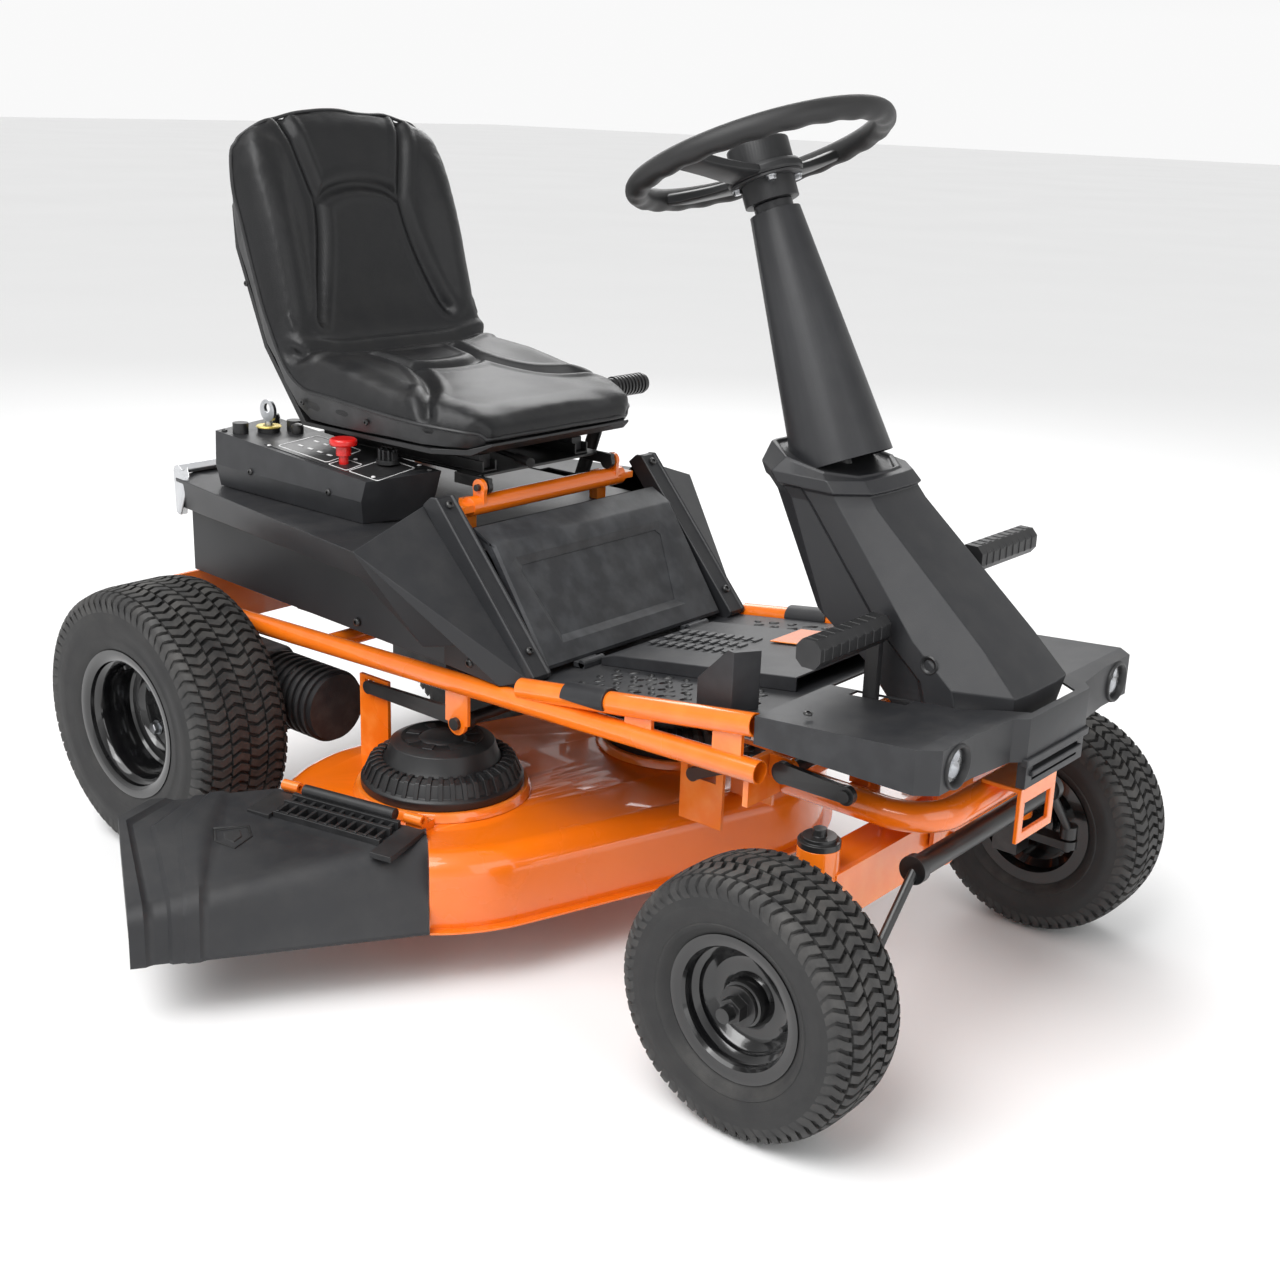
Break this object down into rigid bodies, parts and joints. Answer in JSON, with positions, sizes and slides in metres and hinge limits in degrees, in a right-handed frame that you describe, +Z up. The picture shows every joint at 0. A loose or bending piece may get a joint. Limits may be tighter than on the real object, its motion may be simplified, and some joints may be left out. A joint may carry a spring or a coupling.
{
  "type": "ride-on mower",
  "caption": "Battery ride-on mower with steering wheel, bucket seat, side-discharge deck, turf tyres and tubular frame",
  "frame": {"origin": "centre of the footprint, on the ground", "axes": "+X forward, +Y to the driver's left, +Z up"},
  "size_m": [1.515, 1.1786, 1.1573],
  "materials": {
    "orange_paint": "gloss powder coat",
    "black_cover": "fine textured moulding",
    "panel_overlay": "printed overlay",
    "black_trim": "moulded",
    "black_steel": "satin black",
    "rim_paint": "gloss black",
    "tyre_rubber": "moulded tread",
    "grip_rubber": "soft touch",
    "soft_black": "moulded",
    "zinc_steel": "zinc plated",
    "cast_alloy": "cast, dark finish",
    "stop_red": "gloss",
    "clear_lens": "clear moulded lens",
    "seat_vinyl": "grained seat vinyl"
  },
  "bodies": {
    "chassis": {"frame_rails": "orange_paint", "cross_members": "orange_paint", "front_loop": "orange_paint", "tow_bracket": "orange_paint", "rear_hitch": "orange_paint", "seat_frame": "orange_paint", "floor_pan": "black_cover", "centre_tunnel": "black_cover", "rail_guards": "black_cover", "side_panel_right": "black_cover", "side_panel_left": "black_cover", "rear_panel": "black_cover", "seat_deck": "black_cover", "console_box": "black_cover", "control_panel": "panel_overlay", "key_switch": "black_trim", "bumper_cover": "black_cover", "headlight_bezels": "black_trim", "light_lenses": "clear_lens", "shroud_right": "black_cover", "shroud_left": "black_cover", "column_cover": "black_cover", "battery_pack": "black_trim", "motor_controller": "cast_alloy", "drive_motors": "cast_alloy", "body_screws": "zinc_steel", "control_cables": "grip_rubber"},
    "front_axle": {"axle_beam": "orange_paint", "kingpin_caps": "black_steel"},
    "knuckle_l": {"knuckle_left": "black_steel"},
    "knuckle_r": {"knuckle_right": "black_steel"},
    "tie": {"tie_rod": "black_steel"},
    "steering": {"steering_wheel": "grip_rubber", "steering_hub": "soft_black"},
    "wheel_fl": {"front_tyre_left": "tyre_rubber", "front_rim_left": "rim_paint"},
    "wheel_fr": {"front_tyre_right": "tyre_rubber", "front_rim_right": "rim_paint"},
    "wheel_rl": {"rear_tyre_left": "tyre_rubber", "rear_rim_left": "rim_paint"},
    "wheel_rr": {"rear_tyre_right": "tyre_rubber", "rear_rim_right": "rim_paint"},
    "seat_tilter": {"seat_base": "black_steel"},
    "seat": {"seat_shell": "black_trim", "seat_cushion": "seat_vinyl"},
    "seat_latch": {"slide_lever": "black_steel"},
    "battery_door": {"battery_cover": "black_cover"},
    "pedal_right": {"drive_pedal": "black_trim"},
    "pedal_left": {"brake_pedal": "black_trim"},
    "deck": {"deck_shell": "orange_paint", "deck_motors": "black_trim"},
    "cutter_right": {"blade_right": "zinc_steel"},
    "cutter_left": {"blade_left": "zinc_steel"},
    "chute": {"discharge_chute": "black_cover"},
    "lift_rear": {"rear_lift": "black_steel"},
    "lift_front": {"front_lift": "black_steel"},
    "height_handle": {"height_lever": "black_steel"},
    "key": {"ignition_key": "zinc_steel"},
    "stop": {"stop_button": "stop_red"},
    "knob": {"speed_knob": "black_trim"}
  },
  "joints": [
    {"name": "axle_rock", "type": "hinge", "parent": "chassis", "child": "front_axle", "pos_m": [0.5915, 0.14375, 0.255], "axis": [1, 0, 0], "range_deg": [-5, 5]},
    {"name": "steer_left", "type": "hinge", "parent": "front_axle", "child": "knuckle_l", "pos_m": [0.5915, 0.39375, 0.255], "axis": [0, 0, 1], "range_deg": [-40, 40]},
    {"name": "steer_right", "type": "hinge", "parent": "front_axle", "child": "knuckle_r", "pos_m": [0.5915, -0.10625, 0.255], "axis": [0, 0, 1], "range_deg": [-40, 40]},
    {"name": "tie_rod_swing", "type": "hinge", "parent": "knuckle_l", "child": "tie", "pos_m": [0.6765, 0.39375, 0.2], "axis": [0, 0, 1], "range_deg": [-40, 40]},
    {"name": "wheel_turn", "type": "hinge", "parent": "chassis", "child": "steering", "pos_m": [0.2695, 0.14375, 1.079], "axis": [-0.3923, 0, 0.9198], "range_deg": [-120, 120]},
    {"name": "roll_front_left", "type": "hinge", "parent": "knuckle_l", "child": "wheel_fl", "pos_m": [0.5915, 0.50025, 0.165], "axis": [0, 1, 0], "continuous": true},
    {"name": "roll_front_right", "type": "hinge", "parent": "knuckle_r", "child": "wheel_fr", "pos_m": [0.5915, -0.21275, 0.165], "axis": [0, 1, 0], "continuous": true},
    {"name": "roll_rear_left", "type": "hinge", "parent": "chassis", "child": "wheel_rl", "pos_m": [-0.5485, 0.50625, 0.209], "axis": [0, 1, 0], "continuous": true},
    {"name": "roll_rear_right", "type": "hinge", "parent": "chassis", "child": "wheel_rr", "pos_m": [-0.5485, -0.21875, 0.209], "axis": [0, 1, 0], "continuous": true},
    {"name": "seat_tilt", "type": "hinge", "parent": "chassis", "child": "seat_tilter", "pos_m": [-0.0835, 0.14375, 0.614], "axis": [0, 1, 0], "range_deg": [0, 45]},
    {"name": "seat_slide", "type": "slide", "parent": "seat_tilter", "child": "seat", "axis": [1, 0, 0], "range_m": [-0.05, 0.05]},
    {"name": "latch_swing", "type": "hinge", "parent": "seat", "child": "seat_latch", "pos_m": [-0.1585, 0.10375, 0.643], "axis": [0, 0, 1], "range_deg": [0, 15], "stiffness_Nm_per_rad": 2, "springref_deg": -5.73},
    {"name": "door_hinge", "type": "hinge", "parent": "chassis", "child": "battery_door", "pos_m": [0.1135, 0.14375, 0.398], "axis": [0, 1, 0], "range_deg": [0, 95]},
    {"name": "drive_press", "type": "hinge", "parent": "chassis", "child": "pedal_right", "pos_m": [0.5635, 0.03175, 0.388], "axis": [0, 1, 0], "range_deg": [0, 15], "stiffness_Nm_per_rad": 25, "springref_deg": -5.73},
    {"name": "brake_press", "type": "hinge", "parent": "chassis", "child": "pedal_left", "pos_m": [0.5635, 0.25575, 0.388], "axis": [0, 1, 0], "range_deg": [0, 15], "stiffness_Nm_per_rad": 25, "springref_deg": -5.73},
    {"name": "deck_height", "type": "slide", "parent": "chassis", "child": "deck", "axis": [0, 0, 1], "range_m": [-0.045, 0.012]},
    {"name": "spin_right", "type": "hinge", "parent": "deck", "child": "cutter_right", "pos_m": [-0.0705, -0.08425, 0.104], "axis": [0, 0, 1], "continuous": true},
    {"name": "spin_left", "type": "hinge", "parent": "deck", "child": "cutter_left", "pos_m": [0.0515, 0.30375, 0.104], "axis": [0, 0, 1], "continuous": true},
    {"name": "chute_lift", "type": "hinge", "parent": "deck", "child": "chute", "pos_m": [-0.2185, -0.26425, 0.203], "axis": [-0.9772, -0.2124, 0], "range_deg": [0, 75]},
    {"name": "rear_lift_turn", "type": "hinge", "parent": "chassis", "child": "lift_rear", "pos_m": [-0.0195, 0.14375, 0.304], "axis": [0, 1, 0], "range_deg": [-13.08, 3.85]},
    {"name": "front_lift_turn", "type": "hinge", "parent": "chassis", "child": "lift_front", "pos_m": [0.5135, 0.14375, 0.378], "axis": [0, 1, 0], "range_deg": [-10.81, 3.25]},
    {"name": "height_turn", "type": "hinge", "parent": "chassis", "child": "height_handle", "pos_m": [-0.2485, 0.14375, 0.48], "axis": [0, 1, 0], "range_deg": [-6, 21.13]},
    {"name": "key_turn", "type": "hinge", "parent": "chassis", "child": "key", "pos_m": [-0.4865, -0.05225, 0.64], "axis": [0, 0, -1], "range_deg": [0, 90]},
    {"name": "stop_push", "type": "slide", "parent": "chassis", "child": "stop", "axis": [0, 0, 1], "range_m": [-0.006, 0], "stiffness_N_per_m": 500, "springref_m": 0.002},
    {"name": "knob_turn", "type": "hinge", "parent": "chassis", "child": "knob", "pos_m": [-0.2365, -0.03425, 0.63], "axis": [0, 0, 1], "range_deg": [-135, 135]}
  ],
  "couplings": [
    {"joint": "steer_right", "follows": "steer_left", "ratio": 1},
    {"joint": "tie_rod_swing", "follows": "steer_left", "ratio": -1},
    {"joint": "wheel_turn", "follows": "steer_left", "ratio": 3},
    {"joint": "rear_lift_turn", "follows": "deck_height", "rad_per_m": 4.878},
    {"joint": "front_lift_turn", "follows": "deck_height", "rad_per_m": 4},
    {"joint": "height_turn", "follows": "deck_height", "rad_per_m": -8}
  ]
}
